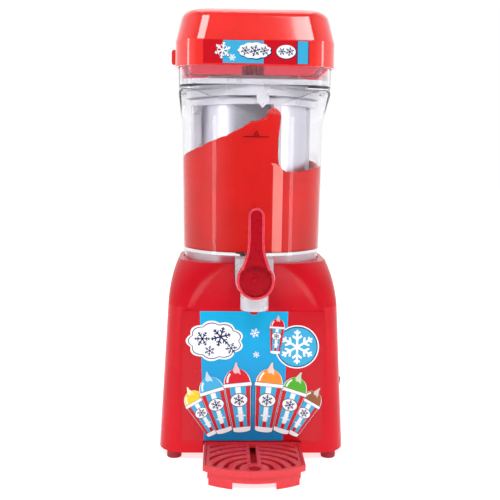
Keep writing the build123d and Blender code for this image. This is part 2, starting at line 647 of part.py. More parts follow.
def make_collar():
    """Square flange that hangs the canister on the tank's ledges, with a skirt and a pointer."""
    half = MOUTH_HALF - TANK_WALL - 0.6
    plate = slab(half, half, MOUTH_CORNER - TANK_WALL - 0.6, LEDGE_TOP, COLLAR_TOP)
    skirt = ring(68.6, 66.8, 351.0, LEDGE_TOP + 0.5)
    collar = plate + skirt - rod(CANISTER_R, 340, COLLAR_TOP + 1)
    tip = [(1.2, 354), (13.2, 354), (13.2, 345), (7.2, 339.2), (1.2, 345)]
    pointer = extrude(Plane.XZ * make_face(Polyline(*tip, close=True)), amount=80)
    pointer = pointer & ring(68.6, 66.8, 338, 356)
    webs = around(box(CANISTER_R - 0.5, 67.5, -1.5, 1.5, 354.5, LEDGE_TOP + 0.5), 8, 22.5)
    webs = [web - rod(CANISTER_R, 340, 370) for web in webs]
    return collar + pointer + fuse(webs)


def make_canister_cap():
    """Flat cap on the canister's rim, with a fluted knob in the middle."""
    plate = rod(CANISTER_R + 3.5, CAP_BOTTOM, CAP_BOTTOM + 2.6)
    plug = ring(CANISTER_R - CANISTER_WALL - 0.5, CANISTER_R - 4.5, COLLAR_TOP - 6, CAP_BOTTOM + 1)
    knob = rod(KNOB_R, CAP_BOTTOM, KNOB_TOP)
    knob = fillet(knob.edges().sort_by(Axis.Z)[-1], 1.5)
    knob = knob - rod(KNOB_R - 2.4, CAP_BOTTOM - 1, KNOB_TOP - 2.5)
    grooves = around(rod(1.4, 360, 400, KNOB_R + 0.6), 18)
    plate = plate - rod(KNOB_R - 2.4, CAP_BOTTOM - 1, CAP_BOTTOM + 5)
    cap = plate + plug + (knob - fuse(grooves))
    ribs = around(box(KNOB_R - 1.0, CANISTER_R - 3, -1.0, 1.0, CAP_BOTTOM + 2, CAP_BOTTOM + 5.5), 6, 30)
    return cap + fuse(ribs)


def make_cap_gasket():
    return ring(CANISTER_R + 3.0, CANISTER_R - 1.0, COLLAR_TOP + 1.4, CAP_BOTTOM)


# ---------------------------------------------------------------- lid
def lid_outer(grow=0.0, z_low=LID_BOTTOM):
    """The outside of the lid, or a copy grown or drawn in."""
    band = tower([
        (LID_HALF_LOW + grow, LID_HALF_LOW + grow, LID_CORNER + grow, z_low),
        (LID_HALF_CREASE + grow, LID_HALF_CREASE + grow, LID_CORNER + grow, LID_CREASE),
    ], ruled=True)
    dome = tower([
        (LID_HALF_CREASE + grow, LID_HALF_CREASE + grow, LID_CORNER + grow, LID_CREASE),
        (LID_HALF_TOP + grow, LID_HALF_TOP + grow, LID_CORNER + grow, LID_TOP + min(grow, 0)),
    ], ruled=True)
    return band + dome


def make_lid_shell():
    outer = lid_outer()
    outer = fillet(outer.faces().sort_by(Axis.Z)[-1].outer_wire().edges(), 11.0)
    inner = lid_outer(-LID_WALL, LID_BOTTOM - 1)
    inner = fillet(inner.faces().sort_by(Axis.Z)[-1].outer_wire().edges(), 9.0)
    shell = outer - inner
    flange = slab(LID_HALF_CREASE - 0.8, LID_HALF_CREASE - 0.8, LID_CORNER - 1, TANK_TOP + 1.5, TANK_TOP + 4)
    flange = flange - slab(68.5, 68.5, 16, TANK_TOP, TANK_TOP + 5)
    tab = box(-LID_TAB_OUT, -LID_HALF_LOW + 2, -13, 13, 384.5, 399.5)
    tab = fillet(tab.faces().sort_by(Axis.X)[0].edges().filter_by(Axis.Y), 2.5)
    return shell + flange + (tab - inner)


def make_lid_gasket():
    outer = slab(MOUTH_HALF - 0.1, MOUTH_HALF - 0.1, MOUTH_CORNER, TANK_TOP, TANK_TOP + 1.5)
    return outer - slab(69.5, 69.5, 16.5, TANK_TOP - 1, TANK_TOP + 2)


def make_lid_label():
    skin = lid_outer(0.35) - lid_outer()
    return skin & box(-LID_LABEL_HALF, LID_LABEL_HALF, -90, -60, 379.4, 401.2)


# ---------------------------------------------------------------- drip tray
def tray_plan(inset, z0, z1, back=TRAY_BACK):
    """Tray outline: straight back and sides, front edge an arc."""
    half = TRAY_HALF - inset
    side_y = TRAY_SIDE_FRONT + inset * 0.6
    front = TRAY_FRONT + inset
    arc = ThreePointArc((-half, side_y), (0, front), (half, side_y))
    right = Line((half, side_y), (half, back))
    rear = Line((half, back), (-half, back))
    left = Line((-half, back), (-half, side_y))
    face = make_face(Curve() + [arc, right, rear, left])
    return extrude(Pos(0, 0, z0) * face, amount=z1 - z0)


def make_drip_tray():
    """Basin on two skids; its closed tongue slides under the front of the base."""
    rim = tray_plan(0, TRAY_STEP_Z, TRAY_TOP)
    body = tray_plan(TRAY_STEP, LEG_TOP, TRAY_STEP_Z)
    legs = [tray_plan(TRAY_STEP, 0, LEG_TOP) & box(x0, x1, -180, -60, 0, LEG_TOP)
            for x0, x1 in ((-41, -19.5), (19.5, 41))]
    tray = rim + body + fuse(legs)
    tray = tray - tray_plan(TRAY_STEP + 2, LEG_TOP + 2, TRAY_TOP - 2.5, TRAY_BACK - 2)
    tray = tray - tray_plan(TRAY_STEP + 2, LEG_TOP + 2, TRAY_TOP + 1, GRILLE_BACK - 4)
    return tray - tray_plan(GRILLE_INSET, TRAY_TOP - 4.2, TRAY_TOP + 1, GRILLE_BACK)


def make_drip_grille():
    """Plate with arc slots about the drain hole and one straight slot down the middle."""
    plate = tray_plan(GRILLE_INSET + 0.4, TRAY_TOP - 4.2, TRAY_TOP - 1.0, GRILLE_BACK - 0.4)
    field = tray_plan(GRILLE_INSET + 3.4, 0, 30, GRILLE_BACK - 3.5) - box(-6.2, 6.2, -180, -60, -1, 31)
    arcs = []
    for k in range(7):
        radius = 15.5 + 10.4 * k
        arcs.append(ring(radius + 2.1, radius - 2.1, 10, 25, 0, HOLE_Y) & field)
    centre = box(-2.9, 2.9, -148, GRILLE_BACK - 3.5, 10, 25)
    drain = rod(5.6, 10, 25, 0, HOLE_Y)
    return plate - fuse(arcs) - centre - drain


# ---------------------------------------------------------------- write the parts
PARTS = {
    "base_housing": make_base_housing,
    "base_bottom_cover": make_bottom_cover,
    "rubber_feet": make_feet,
    "bottom_cover_screws": make_bottom_screws,
    "front_label": make_front_label,
    "gearbox_housing": make_gearbox_housing,
    "gearbox_lid": make_gearbox_lid,
    "gearbox_screws": make_gearbox_screws,
    "drive_shaft_bush": make_shaft_bush,
    "motor_can": make_motor_can,
    "motor_screws": make_motor_screws,
    "motor_shaft": make_motor_shaft,
    "motor_pinion": make_motor_pinion,
    "idler_axle": make_idler_axle,
    "idler_gear": make_idler_gear,
    "output_gear": make_output_gear,
    "drive_shaft": make_drive_shaft,
    "drive_dog": make_drive_dog,
    "shaft_circlip": make_circlip,
    "switch_body": make_switch_body,
    "rocker_button": make_rocker_button,
    "power_inlet": make_power_inlet,
    "inlet_contacts": make_inlet_contacts,
    "wiring": make_wiring,
    "tank": make_tank,
    "tank_shaft_seal": make_tank_seal,
    "slush_fill": make_slush_fill,
    "tap_body": make_tap_body,
    "tap_gasket": make_tap_gasket,
    "tap_plug": make_tap_plug,
    "tap_o_rings": make_tap_o_rings,
    "tap_cap": make_tap_cap,
    "tap_lever": make_tap_lever,
    "mixing_paddle": make_paddle,
    "paddle_bars": make_paddle_bars,
    "paddle_top_ring": make_paddle_ring,
    "paddle_scrapers": make_scrapers,
    "paddle_spindle": make_spindle,
    "ice_canister": make_canister,
    "canister_collar": make_collar,
    "canister_cap": make_canister_cap,
    "cap_gasket": make_cap_gasket,
    "lid_shell": make_lid_shell,
    "lid_gasket": make_lid_gasket,
    "lid_label": make_lid_label,
    "drip_tray": make_drip_tray,
    "drip_grille": make_drip_grille,
}


def write_parts():
    """Writes one STEP file for each sub-part."""
    os.makedirs("parts", exist_ok=True)
    for name, make in PARTS.items():
        shape = make()
        if isinstance(shape, (list, tuple)):
            shape = Compound(children=list(shape))
        export_step(shape, f"parts/{name}.step")


write_parts()
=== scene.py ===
import json
import math

import bmesh
import bpy
import numpy as np
from mathutils import Matrix, Vector, noise


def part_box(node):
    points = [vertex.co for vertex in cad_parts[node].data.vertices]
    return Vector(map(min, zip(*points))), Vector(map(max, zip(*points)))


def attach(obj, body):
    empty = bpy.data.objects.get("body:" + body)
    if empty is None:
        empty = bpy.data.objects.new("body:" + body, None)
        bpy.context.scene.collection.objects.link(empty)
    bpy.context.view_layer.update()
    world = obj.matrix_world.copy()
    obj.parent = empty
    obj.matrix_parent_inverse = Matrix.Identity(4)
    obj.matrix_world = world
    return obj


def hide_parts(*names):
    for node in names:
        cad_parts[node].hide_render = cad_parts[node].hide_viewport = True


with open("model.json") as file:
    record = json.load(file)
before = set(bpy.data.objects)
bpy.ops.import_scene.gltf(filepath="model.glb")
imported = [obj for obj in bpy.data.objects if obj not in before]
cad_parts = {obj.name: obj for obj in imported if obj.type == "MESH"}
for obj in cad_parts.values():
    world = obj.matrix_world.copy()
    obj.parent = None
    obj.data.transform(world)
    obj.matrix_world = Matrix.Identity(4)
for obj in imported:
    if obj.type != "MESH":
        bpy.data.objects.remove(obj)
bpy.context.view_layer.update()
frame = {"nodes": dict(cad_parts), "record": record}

MM = 0.001


# ---------------------------------------------------------------- camera, light, floor
CAMERA_DISTANCE = 0.866      # from the drive axis
CAMERA_HEIGHT = 0.2864
CAMERA_PITCH = math.radians(6.0)
CAMERA_SIDE = math.radians(2.0)      # how far the camera stands round to the machine's left
CAMERA_AIM = math.radians(1.934)
CAMERA_ROLL = math.radians(0.7)
CAMERA_LENS = 59.4
SENSOR = 36.0
SKY_LIGHT = 0.36             # how much the white surround lights the machine
REFLECTED_FRONT = 0.16       # how bright the room behind the camera looks in reflections
SOFTBOX_POWER = 7.0
SOFTBOX_PLACE = (0.45, -1.23, 1.33)      # one on each side, high in front
SOFTBOX_SIZE = (0.62, 0.5)
STRIP_POWER = 3.0
STRIP_PLACE = (1.15, -0.55, 0.3)         # one on each side, low
STRIP_SIZE = (0.16, 1.1)
TOP_POWER = 8.0
TOP_PLACE = (0.0, 0.25, 1.7)
TOP_SIZE = 1.2
FLOOR_GLOW = 0.7             # keeps the far floor as white as the surround
FLOOR_FRONT = -0.75          # the floor ends in front of the camera's view
FLOOR_BACK = 9.0
FLOOR_HALF = 7.0
FLOOR_DROP = 0.0002          # a hair below the feet


def make_camera():
    """The camera looks slightly down at the front, from a little to one side."""
    place = Vector((-CAMERA_DISTANCE * math.sin(CAMERA_SIDE),
                    -CAMERA_DISTANCE * math.cos(CAMERA_SIDE), CAMERA_HEIGHT))
    forward = Vector((math.sin(CAMERA_AIM), math.cos(CAMERA_AIM), 0)) * math.cos(CAMERA_PITCH)
    forward.z = -math.sin(CAMERA_PITCH)
    right = forward.cross(Vector((0, 0, 1))).normalized()
    up = right.cross(forward)
    rolled_right = right * math.cos(CAMERA_ROLL) + up * math.sin(CAMERA_ROLL)
    rolled_up = up * math.cos(CAMERA_ROLL) - right * math.sin(CAMERA_ROLL)
    data = bpy.data.cameras.new("camera")
    data.lens = CAMERA_LENS
    data.sensor_width = SENSOR
    data.clip_start = 0.01
    camera = bpy.data.objects.new("camera", data)
    basis = Matrix((rolled_right, rolled_up, -forward)).transposed()
    camera.matrix_world = Matrix.Translation(place) @ basis.to_4x4()
    bpy.context.collection.objects.link(camera)
    bpy.context.scene.camera = camera


def area_light(name, place, target, width, height, power, colour=(1, 1, 1)):
    """A rectangular softbox that faces a point."""
    data = bpy.data.lights.new(name, "AREA")
    data.shape = "RECTANGLE"
    data.size = width
    data.size_y = height
    data.energy = power
    data.color = colour
    light = bpy.data.objects.new(name, data)
    light.location = place
    direction = Vector(target) - Vector(place)
    light.rotation_euler = direction.to_track_quat("-Z", "Y").to_euler()
    bpy.context.collection.objects.link(light)
    return light


def make_world():
    """White to the eye, dimmer as a lamp.

    In reflections, and through clear parts, it is bright at the sides and dark behind the camera.
    """
    world = bpy.data.worlds.new("studio")
    world.use_nodes = True
    nodes, links = world.node_tree.nodes, world.node_tree.links
    path = nodes.new("ShaderNodeLightPath")
    coords = nodes.new("ShaderNodeTexCoord")
    split = nodes.new("ShaderNodeSeparateXYZ")
    links.new(coords.outputs["Generated"], split.inputs["Vector"])
    side = nodes.new("ShaderNodeMath")
    side.operation = "ABSOLUTE"
    links.new(split.outputs["X"], side.inputs[0])

    def remap(source, low, high, out_low, out_high):
        node = nodes.new("ShaderNodeMapRange")
        limits = {"From Min": low, "From Max": high, "To Min": out_low, "To Max": out_high}
        for socket, value in limits.items():
            node.inputs[socket].default_value = value
        links.new(source, node.inputs["Value"])
        return node.outputs["Result"]

    def combine(operation, first, second):
        node = nodes.new("ShaderNodeMath")
        node.operation = operation
        for socket, value in ((0, first), (1, second)):
            if isinstance(value, float):
                node.inputs[socket].default_value = value
            else:
                links.new(value, node.inputs[socket])
        return node.outputs[0]

    sides = remap(side.outputs[0], 0.5, 0.92, 0.0, 1.0)
    behind = remap(split.outputs["Y"], -0.2, 0.35, 0.0, 1.0)
    mirrored = remap(combine("MAXIMUM", sides, behind), 0.0, 1.0, REFLECTED_FRONT, 1.0)
    sharp = combine("MAXIMUM", path.outputs["Is Glossy Ray"], path.outputs["Is Transmission Ray"])
    lamp = combine("MULTIPLY", combine("SUBTRACT", 1.0, sharp), SKY_LIGHT)
    glossy = combine("MULTIPLY", sharp, mirrored)
    strength = combine("MAXIMUM", path.outputs["Is Camera Ray"], combine("ADD", lamp, glossy))
    background = nodes["Background"]
    background.inputs["Color"].default_value = (1.0, 1.0, 1.0, 1.0)
    links.new(strength, background.inputs["Strength"])
    bpy.context.scene.world = world


def make_studio():
    """A pale floor, a white surround, two softboxes, two low side strips and a top light."""
    make_world()
    for side in (-1, 1):
        softbox_place = (side * SOFTBOX_PLACE[0], *SOFTBOX_PLACE[1:])
        area_light("softbox", softbox_place, (0, 0, 0.36), *SOFTBOX_SIZE, SOFTBOX_POWER)
        strip_place = (side * STRIP_PLACE[0], *STRIP_PLACE[1:])
        area_light("strip", strip_place, (0, 0, 0.25), *STRIP_SIZE, STRIP_POWER)
    area_light("top", TOP_PLACE, (0, 0, 0.1), TOP_SIZE, TOP_SIZE, TOP_POWER)
    mesh = bpy.data.meshes.new("floor")
    corners = [(-FLOOR_HALF, FLOOR_FRONT, 0), (FLOOR_HALF, FLOOR_FRONT, 0),
               (FLOOR_HALF, FLOOR_BACK, 0), (-FLOOR_HALF, FLOOR_BACK, 0)]
    mesh.from_pydata(corners, [], [(0, 1, 2, 3)])
    floor = bpy.data.objects.new("floor", mesh)
    floor.location.z = -FLOOR_DROP
    bpy.context.collection.objects.link(floor)
    material = Shader("floor_paper")
    material.set("Base Color", (0.95, 0.95, 0.955, 1))
    material.set("Roughness", 0.9)
    material.set("Emission Color", (1.0, 1.0, 1.0, 1.0))
    material.set("Emission Strength", FLOOR_GLOW)
    floor.data.materials.append(material.material)


# ---------------------------------------------------------------- materials
class Shader:
    """A material with one Principled shader and short ways to add noise to it."""

    def __init__(self, name):
        self.material = bpy.data.materials.new(name)
        self.material.use_nodes = True
        self.tree = self.material.node_tree
        self.nodes = self.tree.nodes
        self.links = self.tree.links
        self.main = self.nodes["Principled BSDF"]
        self.out = self.nodes["Material Output"]
        self.coords = self.nodes.new("ShaderNodeTexCoord")

    def set(self, socket, value):
        self.main.inputs[socket].default_value = value

    def link(self, source, target):
        self.links.new(source, target)

    def mapped(self, stretch=(1, 1, 1)):
        """Object coordinates in metres, stretched along each axis."""
        mapping = self.nodes.new("ShaderNodeMapping")
        mapping.inputs["Scale"].default_value = stretch
        self.link(self.coords.outputs["Object"], mapping.inputs["Vector"])
        return mapping.outputs["Vector"]

    def noise(self, scale, detail=3.0, stretch=(1, 1, 1), distortion=0.0):
        node = self.nodes.new("ShaderNodeTexNoise")
        node.inputs["Scale"].default_value = scale
        node.inputs["Detail"].default_value = detail
        node.inputs["Distortion"].default_value = distortion
        self.link(self.mapped(stretch), node.inputs["Vector"])
        return node.outputs["Fac"]

    def voronoi(self, scale, stretch=(1, 1, 1)):
        node = self.nodes.new("ShaderNodeTexVoronoi")
        node.feature = "SMOOTH_F1"
        node.inputs["Scale"].default_value = scale
        self.link(self.mapped(stretch), node.inputs["Vector"])
        return node.outputs["Distance"]

    def height(self, low, high, axis="Z"):
        """From 0 at one height to 1 at another, along an axis of the object."""
        split = self.nodes.new("ShaderNodeSeparateXYZ")
        self.link(self.coords.outputs["Object"], split.inputs["Vector"])
        return self.remap(split.outputs[axis], low, high, 0.0, 1.0)

    def remap(self, source, low, high, out_low, out_high):
        node = self.nodes.new("ShaderNodeMapRange")
        node.inputs["From Min"].default_value = low
        node.inputs["From Max"].default_value = high
        node.inputs["To Min"].default_value = out_low
        node.inputs["To Max"].default_value = out_high
        self.link(source, node.inputs["Value"])
        return node.outputs["Result"]

    def ramp(self, source, stops):
        """Colours between 0 and 1, each stop given as a place and a colour."""
        node = self.nodes.new("ShaderNodeValToRGB")
        elements = node.color_ramp.elements
        while len(elements) < len(stops):
            elements.new(0.5)
        for element, (place, colour) in zip(elements, stops):
            element.position = place
            element.color = (*colour, 1.0)
        self.link(source, node.inputs["Fac"])
        return node.outputs["Color"]

    def mix(self, factor, first, second):
        """A colour between two colours, each a socket or an RGB triple."""
        node = self.nodes.new("ShaderNodeMix")
        node.data_type = "RGBA"
        for index, value in ((6, first), (7, second)):
            if isinstance(value, tuple):
                node.inputs[index].default_value = (*value, 1.0)
            else:
                self.link(value, node.inputs[index])
        self.link(factor, node.inputs[0])
        return node.outputs[2]

    def colour(self, source):
        self.link(source, self.main.inputs["Base Color"])

    def roughness(self, source, low, high):
        self.link(self.remap(source, 0.3, 0.7, low, high), self.main.inputs["Roughness"])

    def bump(self, source, strength, distance):
        node = self.nodes.new("ShaderNodeBump")
        node.inputs["Strength"].default_value = strength
        node.inputs["Distance"].default_value = distance
        self.link(source, node.inputs["Height"])
        self.link(node.outputs["Normal"], self.main.inputs["Normal"])
        return node


def shade(colour, factor):
    """A colour made lighter or darker."""
    return tuple(min(1.0, c * factor) for c in colour)


def gloss_moulding(name, colour, rough=0.16, coat=0.35, specular=0.5):
    """Injection moulded gloss plastic: faint cloudiness, slight ripple, fine dust-like roughness."""
    s = Shader(name)
    clouds = s.noise(38, 4)
    s.colour(s.ramp(clouds, [(0.3, shade(colour, 0.93)), (0.7, shade(colour, 1.05))]))
    s.roughness(s.noise(260, 3), rough * 0.85, rough * 1.2)
    s.bump(s.noise(55, 2), 0.05, 0.0006)
    s.set("IOR", 1.5)
    s.set("Specular IOR Level", specular)
    s.set("Coat Weight", coat)
    s.set("Coat Roughness", 0.05)
    return s


def lid_moulding():
    """The lid's gloss red; its inside gets a painted glow, an emission that stands in for the light coming
    through the thin walls.
    """
    s = gloss_moulding("lid_red", LID_RED, 0.1, 1.0)
    split = s.nodes.new("ShaderNodeSeparateXYZ")
    s.link(s.coords.outputs["Object"], split.inputs["Vector"])

    def arithmetic(operation, first, second=0.0):
        node = s.nodes.new("ShaderNodeMath")
        node.operation = operation
        s.link(first, node.inputs[0])
        if isinstance(second, float):
            node.inputs[1].default_value = second
        else:
            s.link(second, node.inputs[1])
        return node.outputs[0]

    sizes = [arithmetic("ABSOLUTE", split.outputs[axis]) for axis in ("X", "Y")]
    past = [arithmetic("SUBTRACT", size, LID_CORE) for size in sizes]
    squares = [arithmetic("POWER", arithmetic("MAXIMUM", far, 0.0), 2.0) for far in past]
    from_core = arithmetic("SQRT", arithmetic("ADD", squares[0], squares[1]))
    # painted light: the inside faces below the lid's top glow pink, standing in for light that comes
    # through the thin walls
    inside = s.remap(from_core, *LID_INSIDE, 1.0, 0.0)
    under = s.remap(split.outputs["Z"], 0.4025, 0.4035, LID_GLOW, 0.0)
    glow = arithmetic("MULTIPLY", inside, under)
    s.set("Emission Color", (1.0, 0.25, 0.32, 1.0))
    s.link(glow, s.main.inputs["Emission Strength"])
    return s


def satin_moulding(name, colour, rough=0.45, grain=0.12):
    """Moulded plastic with a fine spark-eroded grain."""
    s = Shader(name)
    s.colour(s.ramp(s.noise(60, 4), [(0.3, shade(colour, 0.9)), (0.7, shade(colour, 1.07))]))
    s.roughness(s.noise(900, 2), rough * 0.85, rough * 1.15)
    s.bump(s.noise(2200, 2), grain, 0.00012)
    return s


def brushed_metal(name, colour, rough=0.3, stretch=(1, 1, 40)):
    """Metal with fine lines across the stretched axis."""
    s = Shader(name)
    lines = s.noise(120, 5, stretch)
    s.colour(s.ramp(lines, [(0.25, shade(colour, 0.86)), (0.75, shade(colour, 1.06))]))
    s.roughness(lines, rough * 0.8, rough * 1.25)
    s.bump(lines, 0.12, 0.00008)
    s.set("Metallic", 1.0)
    return s


def rubber_like(name, colour, rough=0.7):
    s = Shader(name)
    s.colour(s.ramp(s.noise(90, 5), [(0.3, shade(colour, 0.85)), (0.7, shade(colour, 1.12))]))
    s.roughness(s.noise(700, 3), rough * 0.9, min(1.0, rough * 1.1))
    s.bump(s.noise(1500, 3), 0.2, 0.0001)
    return s


def milky_plastic(name, colour, rough=0.3, through=0.35):
    """Natural plastic that lets some light through, cloudy inside."""
    s = Shader(name)
    s.colour(s.ramp(s.noise(45, 4), [(0.3, shade(colour, 0.95)), (0.7, shade(colour, 1.03))]))
    s.roughness(s.noise(60, 2), rough * 0.9, rough * 1.1)
    s.set("IOR", 1.46)
    s.set("Transmission Weight", through)
    s.set("Subsurface Weight", 0.25)
    s.set("Subsurface Radius", (0.004, 0.004, 0.005))
    s.set("Subsurface Scale", 0.5)
    return s


def clear_plastic(name, tint=(0.97, 0.97, 0.99)):
    """Clear moulded plastic with faint flow ripples; its frosted foot carries painted red and pink
    reflections of the base around it.
    """
    s = Shader(name)
    clear = s.ramp(s.noise(30, 2), [(0.3, shade(tint, 0.985)), (0.7, tint)])
    # painted reflection: red, pink and white patches on the foot stand in for the red base seen in and
    # through it
    painted_red_reflections = s.ramp(s.noise(26, 2, (1, 1, 0.15)), [
        (0.36, (0.7, 0.07, 0.13)), (0.5, (0.86, 0.3, 0.38)), (0.6, (0.9, 0.84, 0.9))])
    above = s.height(*FOOT_FROST_AND_REFLECTION_EDGE)
    s.colour(s.mix(above, painted_red_reflections, clear))
    s.roughness(s.noise(180, 3), 0.015, 0.05)
    s.bump(s.noise(22, 2, (1, 1, 0.5)), 0.04, 0.001)
    s.set("IOR", 1.28)
    s.set("Specular IOR Level", 0.3)
    s.link(s.remap(above, 0.0, 1.0, 0.55, 1.0), s.main.inputs["Transmission Weight"])
    path = s.nodes.new("ShaderNodeLightPath")
    through = s.nodes.new("ShaderNodeBsdfTransparent")
    through.inputs["Color"].default_value = (0.96, 0.96, 0.97, 1)
    switch = s.nodes.new("ShaderNodeMixShader")
    s.link(path.outputs["Is Shadow Ray"], switch.inputs["Fac"])
    s.link(s.main.outputs["BSDF"], switch.inputs[1])
    s.link(through.outputs["BSDF"], switch.inputs[2])
    s.link(switch.outputs["Shader"], s.out.inputs["Surface"])
    return s


def icy_slush(name, colour, pale):
    """Frozen drink: wet crushed ice with pale grains near the surface."""
    s = Shader(name)
    grains = s.voronoi(420)
    clouds = s.noise(22, 5)
    base = s.ramp(clouds, [(0.3, shade(colour, 0.88)), (0.72, shade(colour, 1.08))])
    s.colour(s.mix(s.remap(grains, 0.0, 0.35, 0.03, 0.0), base, pale))
    s.roughness(grains, 0.3, 0.5)
    s.bump(grains, 0.12, 0.0004)
    s.set("Subsurface Weight", 0.06)
    s.set("Subsurface Radius", (0.006, 0.0015, 0.001))
    s.set("Subsurface Scale", 0.5)
    s.set("Specular IOR Level", 0.2)
    return s


def printed_film(name, colour, dark=0.96):
    """Glossy printed label film with a faint printing mottle."""
    s = Shader(name)
    s.colour(s.ramp(s.noise(150, 3), [(0.35, shade(colour, dark)), (0.65, colour)]))
    s.roughness(s.noise(60, 2), 0.22, 0.28)
    s.set("Specular IOR Level", 0.25)
    return s


FOOT_FROST_AND_REFLECTION_EDGE = (0.1955, 0.197)     # heights between which the tank's frosted foot, with its painted reflections, turns clear
LID_CORE = 0.049             # half the lid's width without its corner radius
LID_INSIDE = (0.0262, 0.027)     # reach past the core at the lid's inner and outer face
# strength of the painted glow on the lid's inside
LID_GLOW = 0.42
RED = (0.6, 0.005, 0.015)
LID_RED = (0.85, 0.025, 0.02)
LEVER_RED = (0.4, 0.0, 0.009)
TRAY_RED = (0.68, 0.03, 0.04)
MILK = (0.86, 0.85, 0.9)


def slot_materials():
    """One material for each slot of the record."""
    made = {
        "red_gloss": gloss_moulding("red_gloss", RED, 0.22, 0.0, 0.13),
        "lid_red": lid_moulding(),
        "lever_red": gloss_moulding("lever_red", LEVER_RED, 0.28, 0.05, 0.25),
        "tray_red": gloss_moulding("tray_red", TRAY_RED, 0.3, 0.05, 0.35),
        "dark_red_plastic": satin_moulding("dark_red_plastic", (0.35, 0.01, 0.015)),
        "foot_rubber": rubber_like("foot_rubber", (0.3, 0.01, 0.02)),
        "screw_steel": brushed_metal("screw_steel", (0.6, 0.61, 0.63), 0.3, (20, 20, 1)),
        "label_print": printed_film("label_print", (0.56, 0.003, 0.012)),
        "gearbox_plastic": satin_moulding("gearbox_plastic", (0.66, 0.66, 0.63)),
        "bronze": brushed_metal("bronze", (0.72, 0.5, 0.24), 0.28),
        "motor_steel": brushed_metal("motor_steel", (0.58, 0.59, 0.61), 0.34, (6, 6, 60)),
        "shaft_steel": brushed_metal("shaft_steel", (0.66, 0.67, 0.69), 0.2, (4, 4, 60)),
        "gear_nylon": satin_moulding("gear_nylon", (0.8, 0.79, 0.72), 0.38, 0.06),
        "black_plastic": gloss_moulding("black_plastic", (0.012, 0.012, 0.013), 0.25, 0.1),
        "wire_sleeve": rubber_like("wire_sleeve", (0.05, 0.05, 0.055), 0.5),
        "clear_plastic": clear_plastic("clear_plastic"),
        "silicone": rubber_like("silicone", (0.8, 0.8, 0.81), 0.5),
        "slush": icy_slush("slush", (0.6, 0.008, 0.006), (0.9, 0.3, 0.24)),
        "tap_plastic": milky_plastic("tap_plastic", shade(MILK, 0.93), 0.28, 0.25),
        "milky_plastic": milky_plastic("milky_plastic", MILK, 0.3, 0.35),
        "black_rubber": rubber_like("black_rubber", (0.02, 0.02, 0.02)),
        "canister_metal": brushed_metal("canister_metal", (0.7, 0.69, 0.76), 0.34, (1, 1, 60)),
    }
    return {slot: shader.material for slot, shader in made.items()}


def dress_nodes(materials):
    """Gives every CAD node the material of its slot."""
    for entry in frame["record"]["subparts"]:
        node = frame["nodes"][entry["node"]]
        node.data.materials.clear()
        node.data.materials.append(materials[entry["material_slot"]])


# ---------------------------------------------------------------- printed artwork
class Print:
    """Thin layers of ink on a label, gathered into one piece with a material for each ink."""

    LAYER = 0.035            # millimetres between one layer and the next

    def __init__(self, name, body, place):
        self.name = name
        self.body = body
        self.place = place
        self.bm = bmesh.new()
        self.inks = []

    def add(self, outline, ink, layer):
        """A closed flat shape, given as points in millimetres on the label."""
        if ink not in self.inks:
            self.inks.append(ink)
        slot = self.inks.index(ink)
        high = layer * self.LAYER
        low = high - self.LAYER * 0.9
        top = [self.bm.verts.new(self.place(u, v, high) / MM) for u, v in outline]
        bottom = [self.bm.verts.new(self.place(u, v, low) / MM) for u, v in outline]
        count = len(outline)
        faces = [self.bm.faces.new(top), self.bm.faces.new(bottom[::-1])]
        for i in range(count):
            j = (i + 1) % count
            faces.append(self.bm.faces.new((top[j], top[i], bottom[i], bottom[j])))
        for face in faces:
            face.material_index = slot

    def build(self, inks):
        self.bm.normal_update()
        many = [f for f in self.bm.faces if len(f.verts) > 4]
        bmesh.ops.triangulate(self.bm, faces=many, ngon_method="EAR_CLIP")
        bmesh.ops.recalc_face_normals(self.bm, faces=self.bm.faces)
        bmesh.ops.scale(self.bm, vec=(MM, MM, MM), verts=self.bm.verts)
        mesh = bpy.data.meshes.new(self.name)
        self.bm.to_mesh(mesh)
        self.bm.free()
        for ink in self.inks:
            mesh.materials.append(inks[ink])
        piece = bpy.data.objects.new(self.name, mesh)
        bpy.context.collection.objects.link(piece)
        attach(piece, self.body)
        return piece


def oval(u, v, ru, rv, count=36, start=0.0, stop=360.0):
    """Points along an ellipse, or a part of it."""
    whole = abs(stop - start) >= 360.0
    steps = count if whole else count + 1
    angles = [math.radians(start + (stop - start) * i / count) for i in range(steps)]
    return [(u + ru * math.cos(a), v + rv * math.sin(a)) for a in angles]


def scalloped(u, v, ru, rv, lobes, depth, count=120):
    """A cloud: an ellipse whose edge swells in and out."""
    points = []
    for i in range(count):
        a = 2 * math.pi * i / count
        swell = 1.0 + depth * abs(math.sin(lobes * a / 2))
        points.append((u + ru * swell * math.cos(a), v + rv * swell * math.sin(a)))
    return points


def snowflake(u, v, r, width=0.11, turn=0.0):
    """A plain six-armed snowflake as one outline."""
    half = width / 2
    arm = [(half * 1.9, half), (0.42, half), (0.60, 0.30), (0.70, 0.24), (0.58, half), (0.74, half),
           (0.84, 0.20), (0.93, 0.14), (0.86, half), (1.0, half * 0.8)]
    side = arm + [(a, -b) for a, b in arm[::-1]]
    points = []
    for k in range(6):
        angle = math.radians(turn - 60 * k)
        c, s = math.cos(angle), math.sin(angle)
        points += [(u + r * (a * c - b * s), v + r * (a * s + b * c)) for a, b in side]
    return points


def moved(points, u, v, turn=0.0, scale=1.0):
    """Points turned clockwise by an angle in degrees, scaled and moved."""
    a = math.radians(-turn)
    c, s = math.cos(a) * scale, math.sin(a) * scale
    return [(u + p * c - q * s, v + p * s + q * c) for p, q in points]


CUP_HEIGHT = 44.0
CUP_FOOT = 8.0               # half width at the bottom
CUP_RIM = 12.4               # half width at the rim


def cup_edge(share, v):
    """A point across the cup, share -1 to 1, at a height."""
    half = CUP_FOOT + (CUP_RIM - CUP_FOOT) * v / CUP_HEIGHT
    return (share * half, v)


def cup_stripe(left, right, low, high):
    return [cup_edge(left, low), cup_edge(right, low), cup_edge(right, high), cup_edge(left, high)]


